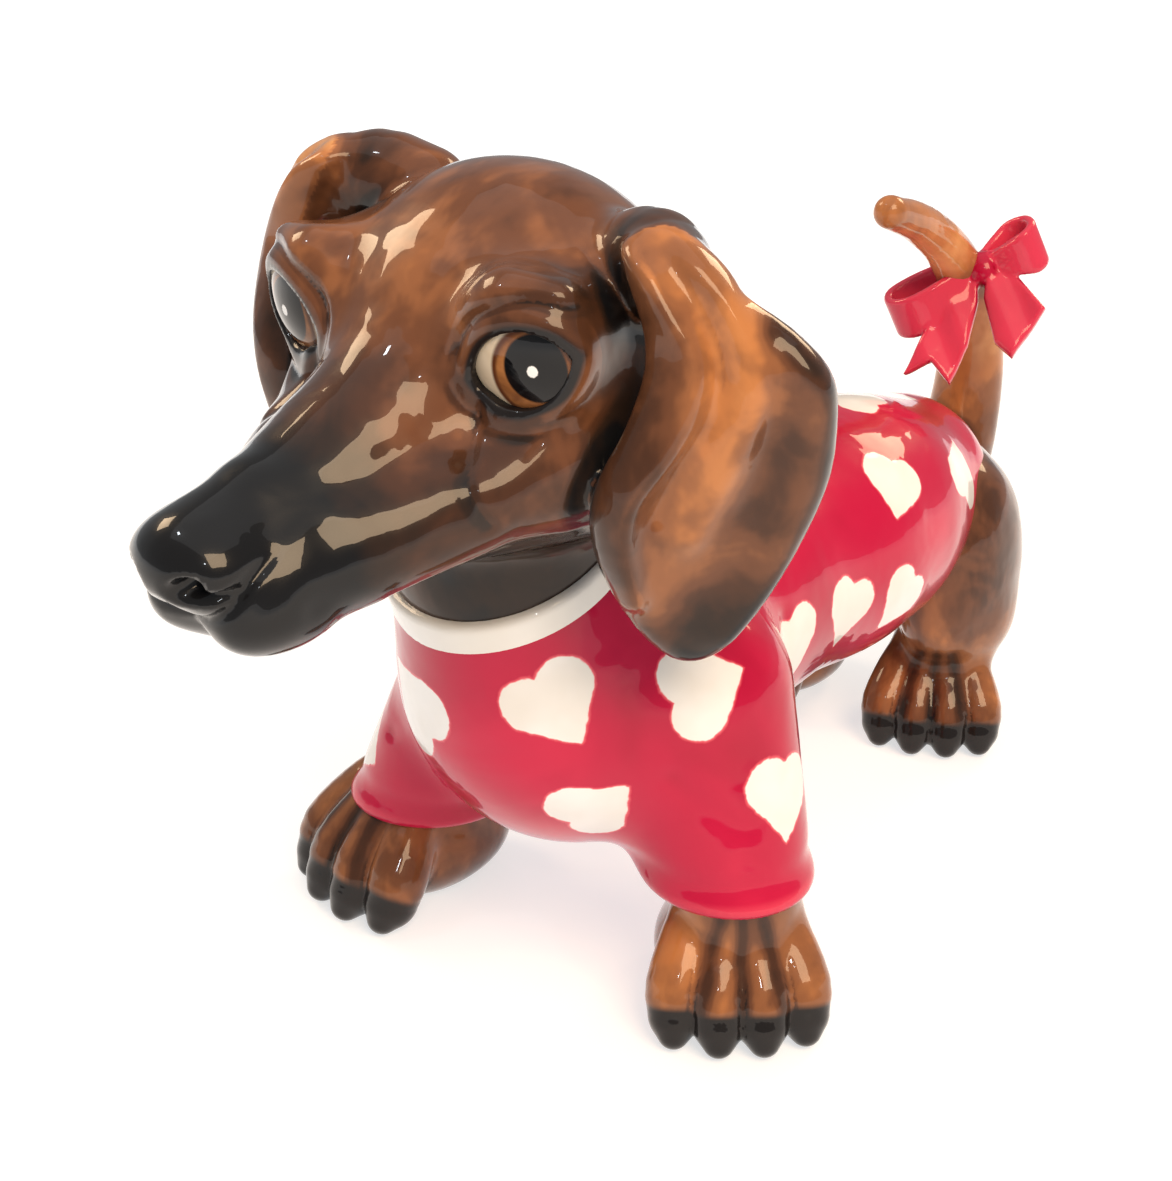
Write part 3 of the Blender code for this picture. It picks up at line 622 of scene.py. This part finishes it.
def bow_field(p):
    q = (p - BOW_POINT) @ BOW_AXES
    leaning = q @ turned(x=BOW_LEAN)
    d = egg(q, (0, -0.5, -0.5), (3.6, 3.4, 4.0))
    d = join(d, egg(q, (0, 4, 0), (5.5, 4.5, 3.2)), 2)
    for rows in (BOW_LEFT_LOOP, BOW_RIGHT_LOOP):
        d = join(d, band_loop(leaning, rows), 0.8)
    for outline in (BOW_LEFT_END, BOW_RIGHT_END):
        wide = flat_outline(q[..., 0], q[..., 2], outline, 1)
        bend = q[..., 1] + 1.2 - 0.06 * (q[..., 2] + 8) + 0.6 * np.cos(q[..., 0] * 0.7)
        end = np.hypot(np.maximum(wide + 0.9, 0), np.maximum(np.abs(bend) - 0.7, 0)) - 0.9
        d = join(d, end, 0.8)
    for start, end in BOW_PLEATS:
        d = carve(d, limb(q, start, end, 0.5, 0.3), 0.8)
    return d


# ---------------------------------------------------------------- from a field to a mesh
def slopes(field, p, h):
    """The field and its gradient at each point."""
    corners = np.array([[1, -1, -1], [-1, -1, 1], [-1, 1, -1], [1, 1, 1]], F)
    n = len(p)
    v = field(np.concatenate([p + k * F(h) for k in corners] + [p]))
    return v[4 * n:], sum(corners[i] * v[i * n:(i + 1) * n, None] for i in range(4)) / (4 * h)


def skinned(field, low, high, voxel, settle=3):
    """Points and quads on the field's zero level, by filling only the blocks near it."""
    block = 4
    low, high = vec(*low), vec(*high)
    n = np.ceil((high - low) / (voxel * block)).astype(int) + 1
    axes = [low[i] + (np.arange(n[i]) + 0.5 - 0.5 / block) * voxel * block for i in range(3)]
    middles = np.stack(np.meshgrid(*axes, indexing="ij"), -1).reshape(-1, 3).astype(F)
    coarse = field(middles).reshape(n)
    full = np.empty((n[0], block, n[1], block, n[2], block), F)
    full[:] = (np.sign(coarse) * voxel * block)[:, None, :, None, :, None]
    near = np.argwhere(np.abs(coarse) < voxel * block * 1.35)
    steps = np.stack(np.meshgrid(*[np.arange(block)] * 3, indexing="ij"), -1).reshape(-1, 3)
    for start in range(0, len(near), 12000):
        some = near[start:start + 12000]
        q = (low + (some[:, None, :] * block + steps[None]) * voxel).astype(F)
        v = field(q.reshape(-1, 3)).reshape(len(some), block, block, block)
        full[some[:, 0], :, some[:, 1], :, some[:, 2], :] = v
    grid = openvdb.FloatGrid(background=float(voxel * block))
    grid.copyFromArray(full.reshape(n * block))
    points, quads = grid.convertToQuads(0.0)
    points = (points * voxel + low).astype(F)
    for _ in range(settle):
        v, g = slopes(field, points, voxel * 0.35)
        step = np.clip(v / np.maximum((g * g).sum(-1), 0.05), -voxel, voxel)
        points = points - step[:, None] * g
    return points, quads[:, ::-1].astype(np.int32)


def largest_part(points, quads):
    """Only the body with the most corners, so that no crumb is left."""
    label = np.arange(len(points))
    while True:
        low = label[quads].min(1)
        new = label.copy()
        np.minimum.at(new, quads.ravel(), np.repeat(low, 4))
        new = new[new]
        if (new == label).all():
            break
        label = new
    keep = np.bincount(label[quads[:, 0]]).argmax()
    quads = quads[label[quads[:, 0]] == keep]
    used, index = np.unique(quads, return_inverse=True)
    return points[used], index.reshape(-1, 4).astype(np.int32)


# ---------------------------------------------------------------- where the dog stands in the frame
def head_to_world(point):
    return HEAD_AXES @ vec(*point) + HEAD_ORIGIN


def box_middle(node):
    low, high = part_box(node)
    return np.array((low + high) / 2) * 1000


EYES_DRAWN = [head_to_world((s * EYE_CENTRE[0], EYE_CENTRE[1], EYE_CENTRE[2])) for s in (1, -1)]
EYES_FOUND = [box_middle("left_eye"), box_middle("right_eye")]
SHIFT = np.mean([found - drawn for found, drawn in zip(EYES_FOUND, EYES_DRAWN)], axis=0).astype(F)
SHIFT[2] = 0.0  # both stand on the ground

CREASE_REACH = 2.4


def creases(field, points):
    """1 in a sharp hollow, 0 on the flat and -1 on a sharp ridge."""
    _, g = slopes(field, points, 0.3)
    g = g / np.maximum(np.linalg.norm(g, axis=-1, keepdims=True), 1e-6)
    out = field(points + CREASE_REACH * g)
    back = field(points - CREASE_REACH * g)
    return np.clip(1 - out / CREASE_REACH, 0, 1) - np.clip(1 + back / CREASE_REACH, 0, 1)


def piece(name, field, low, high, voxel, paints=None):
    """A mesh of the field inside a box, with the crease and the paint masks stored at its points."""
    points, quads = largest_part(*skinned(field, low, high, voxel * (1.0)))
    mesh = bpy.data.meshes.new(name)
    mesh.vertices.add(len(points))
    mesh.vertices.foreach_set("co", ((points + SHIFT) * 0.001).astype(F).ravel())
    mesh.loops.add(quads.size)
    mesh.loops.foreach_set("vertex_index", quads.ravel())
    mesh.polygons.add(len(quads))
    mesh.polygons.foreach_set("loop_start", np.arange(len(quads), dtype=np.int32) * 4)
    mesh.update(calc_edges=True)
    mesh.shade_smooth()
    for key, paint in {"crease": lambda p: creases(field, p), **(paints or {})}.items():
        layer = mesh.attributes.new(key, "FLOAT", "POINT")
        layer.data.foreach_set("value", paint(points).astype(F))
    item = bpy.data.objects.new(name, mesh)
    bpy.context.scene.collection.objects.link(item)
    return item


# ---------------------------------------------------------------- glazes
class Paint:
    """A material and short ways to add nodes to it."""

    def __init__(self, name, **sockets):
        self.material = bpy.data.materials.new(name)
        self.material.use_nodes = True
        self.tree = self.material.node_tree
        self.shader = self.tree.nodes["Principled BSDF"]
        for key, value in sockets.items():
            self.shader.inputs[key.replace("_", " ")].default_value = value

    def add(self, kind, ins=None, out=0, **props):
        node = self.tree.nodes.new("ShaderNode" + kind)
        for key, value in props.items():
            setattr(node, key, value)
        for key, value in (ins or {}).items():
            if isinstance(value, bpy.types.NodeSocket):
                self.tree.links.new(value, node.inputs[key])
            else:
                node.inputs[key].default_value = value
        return node.outputs[out]

    def sets(self, socket, value):
        self.tree.links.new(value, self.shader.inputs[socket])

    def attribute(self, name):
        return self.add("Attribute", out="Fac", attribute_name=name)

    def math(self, operation, a, b=0.0, clamp=False):
        return self.add("Math", {0: a, 1: b}, operation=operation, use_clamp=clamp)

    def ramp(self, value, low, high, to_low=0.0, to_high=1.0):
        return self.add("MapRange", {"Value": value, "From Min": low, "From Max": high, "To Min": to_low,
                                     "To Max": to_high}, interpolation_type="SMOOTHSTEP")

    def noise(self, scale, detail=3.0, rough=0.5, warp=0.0, stretch=None):
        """Noise in the piece's own space; scale is in features per metre."""
        where = self.add("TexCoord", out="Object")
        if stretch:
            where = self.add("Mapping", {"Vector": where, "Scale": stretch})
        return self.add("TexNoise", {"Vector": where, "Scale": scale, "Detail": detail, "Roughness": rough,
                                     "Distortion": warp}, out="Fac")

    def mix(self, factor, a, b):
        """Colour a turning into colour b; the Mix node's colours are its inputs 6 and 7."""
        return self.add("Mix", {"Factor": factor, 6: a, 7: b}, out=2, data_type="RGBA")

    def colours(self, value, *stops):
        ramp = self.tree.nodes.new("ShaderNodeValToRGB")
        ramp.color_ramp.interpolation = "EASE"
        while len(ramp.color_ramp.elements) < len(stops):
            ramp.color_ramp.elements.new(0.5)
        for element, (position, colour) in zip(ramp.color_ramp.elements, stops):
            element.position, element.color = position, (*colour, 1)
        self.tree.links.new(value, ramp.inputs[0])
        return ramp.outputs[0]

    def uneven(self, height, depth):
        """Small waves in the glaze, depth in metres."""
        self.sets("Normal", self.add("Bump", {"Height": height, "Strength": 1.0, "Distance": depth}))
        coat = self.add("Bump", {"Height": height, "Strength": 1.0, "Distance": depth * 0.8})
        self.sets("Coat Normal", coat)


BLACK, INK = (0.006, 0.006, 0.007), (0.010, 0.008, 0.008)
BROWNS = ((0.0, BLACK), (0.16, (0.022, 0.012, 0.008)), (0.34, (0.060, 0.024, 0.012)),
          (0.5, (0.135, 0.052, 0.024)), (0.64, (0.25, 0.098, 0.040)), (0.8, (0.46, 0.18, 0.060)),
          (1.0, (0.64, 0.31, 0.12)))
REDS = ((0.3, (0.38, 0.002, 0.032)), (0.5, (0.47, 0.004, 0.044)), (0.72, (0.56, 0.010, 0.056)))
# The deep red is painted shade and pooled glaze in creases; the worn red is painted highlight and wear on
# ridges.
POOLED_AND_SHADED_RED, WORN_AND_HIGHLIT_RED, HEART_EDGE = (0.26, 0.002, 0.014, 1), (0.74, 0.07, 0.12, 1), (0.74, 0.10, 0.14, 1)
HEART_CREAM = ((0.3, (0.75, 0.73, 0.70)), (0.7, (0.84, 0.84, 0.84)))
COLLAR_CREAM = ((0.3, (0.74, 0.72, 0.68)), (0.7, (0.83, 0.82, 0.80)))
# pooled stain and painted shade for the collar's creases
COLLAR_STAIN_AND_SHADE = (0.45, 0.36, 0.26, 1)
AMBER = ((0.3, (0.16, 0.055, 0.018)), (0.7, (0.42, 0.17, 0.055)))
EYE_WHITE = ((0.3, (0.66, 0.52, 0.36)), (0.7, (0.80, 0.70, 0.54)))
IRIS_RING, PUPIL, SPARKLE = (0.10, 0.03, 0.01, 1), (0.004, 0.004, 0.005, 1), (0.86, 0.86, 0.86, 1)
GLOSS = {"Roughness": 0.3, "Coat_Weight": 1.0, "Coat_Roughness": 0.02, "Coat_IOR": 1.34,
         "Specular_IOR_Level": 0.08}


def brown_glaze(name, stretch, lids=False, claws=False):
    """Brushed brown stain under clear glaze, darker in creases from pooled stain and painted shade, paler on
    ridges from thin worn stain and painted highlight.
    """
    paint = Paint(name, **GLOSS)
    wash = paint.noise(34, 4, 0.55, 0.6, stretch)
    strokes = paint.noise(120, 3, 0.6, 0.3, stretch)
    patches = paint.noise(70, 2, 0.5, 1.2)
    tone = paint.attribute("tone")
    tone = paint.math("ADD", tone, paint.ramp(wash, 0.3, 0.7, -0.13, 0.13))
    tone = paint.math("ADD", tone, paint.ramp(strokes, 0.3, 0.7, -0.06, 0.06))
    tone = paint.math("ADD", tone, paint.ramp(patches, 0.35, 0.7, -0.04, 0.05))
    crease = paint.attribute("crease")
    # painted shade and pooled stain: darker in the creases
    tone = paint.math("SUBTRACT", tone, paint.ramp(crease, 0.08, 0.45, 0.0, 0.34))
    # painted highlight and worn stain: paler on the ridges
    tone = paint.math("ADD", tone, paint.ramp(crease, -0.10, -0.35, 0.0, 0.10))
    kept = paint.ramp(paint.attribute("tone"), 0.02, 0.22)
    tone = paint.math("MULTIPLY", tone, kept, clamp=True)
    colour = paint.colours(tone, *BROWNS)
    if lids:
        colour = paint.mix(paint.ramp(paint.attribute("lid"), 1.5, 0.7), colour, (*INK, 1))
    if claws:
        colour = paint.mix(paint.ramp(paint.attribute("claw"), 1.5, 0.5), colour, (*INK, 1))
    paint.sets("Base Color", colour)
    paint.uneven(paint.noise(85, 2, 0.45, 0.4), 0.0006)
    return paint.material


def red_glaze(name, hearts=False):
    """Crimson glaze, deeper in creases from thick pooled glaze and painted shade, pinker on ridges from wear
    and painted highlight, with cream hearts under it.
    """
    paint = Paint(name, **GLOSS)
    flow = paint.noise(28, 3, 0.5, 0.5)
    colour = paint.colours(flow, *REDS)
    crease = paint.attribute("crease")
    # painted shade and thick pooled glaze: deeper red in the creases
    colour = paint.mix(paint.ramp(crease, 0.05, 0.45), colour, POOLED_AND_SHADED_RED)
    # painted highlight and wear: pinker red on the ridges
    colour = paint.mix(paint.ramp(crease, -0.2, -0.6, 0.0, 0.5), colour, WORN_AND_HIGHLIT_RED)
    if hearts:
        heart = paint.attribute("heart")
        edge = paint.math("ADD", heart, paint.ramp(paint.noise(420, 2), 0.3, 0.7, -0.16, 0.16))
        cream = paint.colours(paint.noise(60, 3), *HEART_CREAM)
        colour = paint.mix(paint.ramp(edge, 0.55, 0.0), colour, HEART_EDGE)
        colour = paint.mix(paint.ramp(edge, 0.14, -0.14), colour, cream)
    paint.sets("Base Color", colour)
    paint.uneven(paint.noise(70, 2, 0.45, 0.4), 0.0006)
    return paint.material


def cream_glaze(name):
    """Off-white glaze, darker in its creases from pooled stain and painted shade."""
    paint = Paint(name, **GLOSS)
    colour = paint.colours(paint.noise(55, 3), *COLLAR_CREAM)
    # painted shade and pooled stain: darker in the creases
    colour = paint.mix(paint.ramp(paint.attribute("crease"), 0.1, 0.5), colour, COLLAR_STAIN_AND_SHADE)
    paint.sets("Base Color", colour)
    paint.uneven(paint.noise(90, 2, 0.45), 0.0005)
    return paint.material


def eye_glaze(name):
    """Painted under thick glaze: cream white, amber iris, black pupil and one white dot."""
    paint = Paint(name, **{**GLOSS, "Roughness": 0.08})
    amber = paint.colours(paint.noise(160, 3, 0.6, 0.4), *AMBER)
    white = paint.colours(paint.noise(90, 2), *EYE_WHITE)
    iris = paint.attribute("iris")
    colour = paint.mix(paint.ramp(iris, 1.08, 0.94), white, amber)
    ring = paint.math("MULTIPLY", paint.ramp(iris, 0.86, 0.98), paint.ramp(iris, 1.12, 1.0))
    colour = paint.mix(ring, colour, IRIS_RING)
    colour = paint.mix(paint.ramp(paint.attribute("pupil"), 1.06, 0.96), colour, PUPIL)
    colour = paint.mix(paint.ramp(paint.attribute("dot"), 1.15, 0.9), colour, SPARKLE)
    paint.sets("Base Color", colour)
    paint.uneven(paint.noise(60, 1), 0.0002)
    return paint.material


# ---------------------------------------------------------------- pieces
def place(item, material, slot, *nodes):
    """Gives a piece its glaze, hangs it on the root body and hides the nodes it is drawn for."""
    item.data.materials.append(material)
    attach(item, "root")
    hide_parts(*nodes)
    return item


brown = brown_glaze("brown_glaze_head", (1.0, 0.55, 0.8), lids=True)
foot_brown = brown_glaze("brown_glaze_feet", (1.2, 0.8, 0.6), claws=True)
crimson = red_glaze("red_glaze_jumper", hearts=True)
ribbon_red = red_glaze("red_glaze_bow")

place(piece("head", head_field, (-75, -150, 60), (75, -15, 160), 0.6, {"tone": head_tone, "lid": head_lid}),
      brown, "brown_glaze", "head_shell", "left_ear", "right_ear")
eye_paint = eye_glaze("eye_glaze_painted")
EYE_PAINTS = {"pupil": lambda p: oval(p, (2.5, 0.5, -0.6), (4.3, 5.0)),
              "iris": lambda p: oval(p, (1.9, -0.7, -0.2), (5.7, 6.8)),
              "dot": lambda p: oval(p, (2.3, 0.5, -0.3), (0.75, 0.85))}
EYE_BOX = 14
for side, sign in (("left", 1), ("right", -1)):
    middle = head_to_world((sign * 22, 0, 0))
    place(piece(f"{side}_eyeball", lambda p, s=sign: np.maximum(eyeball_field(p), -s * to_head(p)[..., 0]),
                middle - EYE_BOX, middle + EYE_BOX, 0.5, EYE_PAINTS),
          eye_paint, "eye_glaze", f"{side}_eye")
place(piece("collar", collar_field, (-40, -100, 55), (30, -25, 110), 0.6),
      cream_glaze("cream_glaze_collar"), "cream_glaze", "collar_band")
place(piece("jumper", jumper_field, (-65, -100, 10), (60, 105, 110), 0.8, {"heart": heart_gap}),
      crimson, "red_glaze", "torso_shell", "front_left_sleeve", "front_right_sleeve")
place(piece("hindquarters_and_tail", hind_field, (-55, 25, -4), (45, 118, 130), 0.7,
            {"tone": foot_tone, "claw": foot_claws}), foot_brown, "brown_glaze",
      "hindquarters", "rear_left_paw", "rear_right_paw", "tail")
for side, (spot, turn) in FRONT_FEET.items():
    size = SIZES[f"front_{side}"]
    place(piece(f"front_{side}_foot",
                lambda p, s=spot, t=turn, w=WRISTS[side], k=size: paw_form(p, s, t, w, 11.5, 10.5, k),
                (spot[0] - 28, spot[1] - 30, -4), (spot[0] + 28, spot[1] + 28, 50), 0.55,
                {"tone": foot_tone, "claw": foot_claws}),
          foot_brown, "brown_glaze", f"front_{side}_paw")
place(piece("bow", bow_field, (-32, 50, 60), (36, 118, 130), 0.5), ribbon_red, "red_glaze",
      "bow_knot", "bow_left_loop", "bow_right_loop", "bow_left_end", "bow_right_end")


# ---------------------------------------------------------------- camera, floor and lights
CAMERA_AZIMUTH, CAMERA_PITCH, CAMERA_LENS = 36.0, 25.0, 53.65
CAMERA_POINT = vec(156.7, -265.0, 197.0)
SUN_WARM, SKY_COOL = (1.0, 0.73, 0.47), (0.86, 0.93, 1.0)
# Soft lamps: where each stands, its width, height, power and colour
LAMPS = {
    "window_left": ((0.62, -0.36, 0.82), 0.56, 0.52, 10.5, SUN_WARM),
    "window_right": ((-0.90, -0.12, 0.80), 0.36, 0.36, 4.6, SUN_WARM),
    "window_back": ((0.15, 0.85, 0.62), 0.34, 0.34, 3.4, SUN_WARM),
    "overhead": ((0.0, -0.1, 1.6), 1.8, 1.8, 5.6, (1, 1, 1)),
    "spark_left": ((0.45, -0.75, 0.75), 0.05, 0.05, 0.5, SKY_COOL),
    "spark_right": ((-0.35, -0.45, 1.00), 0.05, 0.05, 0.5, SKY_COOL),
}
LAMPS_AIM = (0, -0.03, 0.09)


def camera():
    """Looks down from the dog's front left."""
    azimuth, pitch = math.radians(CAMERA_AZIMUTH), math.radians(CAMERA_PITCH)
    level = math.cos(pitch)
    back = Vector((math.sin(azimuth) * level, -math.cos(azimuth) * level, math.sin(pitch)))
    right = Vector((math.cos(azimuth), math.sin(azimuth), 0))
    pose = Matrix((right, back.cross(right), back)).transposed().to_4x4()
    pose.translation = Vector([float(v) for v in (CAMERA_POINT + SHIFT) * 0.001])
    data = bpy.data.cameras.new("camera")
    data.sensor_width, data.lens, data.clip_start = 36.0, CAMERA_LENS, 0.01
    item = bpy.data.objects.new("camera", data)
    bpy.context.scene.collection.objects.link(item)
    item.matrix_world = pose
    bpy.context.scene.camera = item


def softbox(name, place_at, width, height, power, colour):
    data = bpy.data.lights.new(name, "AREA")
    data.shape, data.size, data.size_y, data.energy, data.color = "RECTANGLE", width, height, power, colour
    item = bpy.data.objects.new(name, data)
    bpy.context.scene.collection.objects.link(item)
    item.location = place_at
    item.rotation_mode = "QUATERNION"
    item.rotation_quaternion = (Vector(LAMPS_AIM) - Vector(place_at)).to_track_quat("-Z", "Y")


def studio():
    """A pale room, soft lamps and a white paper floor that fades to white with distance."""
    world = bpy.data.worlds.new("room")
    bpy.context.scene.world = world
    world.use_nodes = True
    world.node_tree.nodes["Background"].inputs["Color"].default_value = (0.93, 0.97, 1.0, 1)
    world.node_tree.nodes["Background"].inputs["Strength"].default_value = 0.32
    for name, values in LAMPS.items():
        softbox(name, *values)
    bpy.ops.mesh.primitive_plane_add(size=30)
    floor = bpy.context.object
    floor.name = "floor"
    paint = Paint("floor_paper", Roughness=0.7, Emission_Color=(1, 1, 1, 1))
    where = paint.add("NewGeometry", out="Position")
    away = paint.add("VectorMath", {0: where}, out="Value", operation="LENGTH")
    paint.sets("Emission Strength", paint.ramp(away, 0.15, 0.9, 0.66, 0.95))
    greys = ((0.3, (0.46, 0.46, 0.46)), (0.7, (0.48, 0.48, 0.48)))
    paint.sets("Base Color", paint.colours(paint.noise(3, 2), *greys))
    floor.data.materials.append(paint.material)
    bpy.context.scene.view_settings.view_transform = "Standard"


camera()
studio()
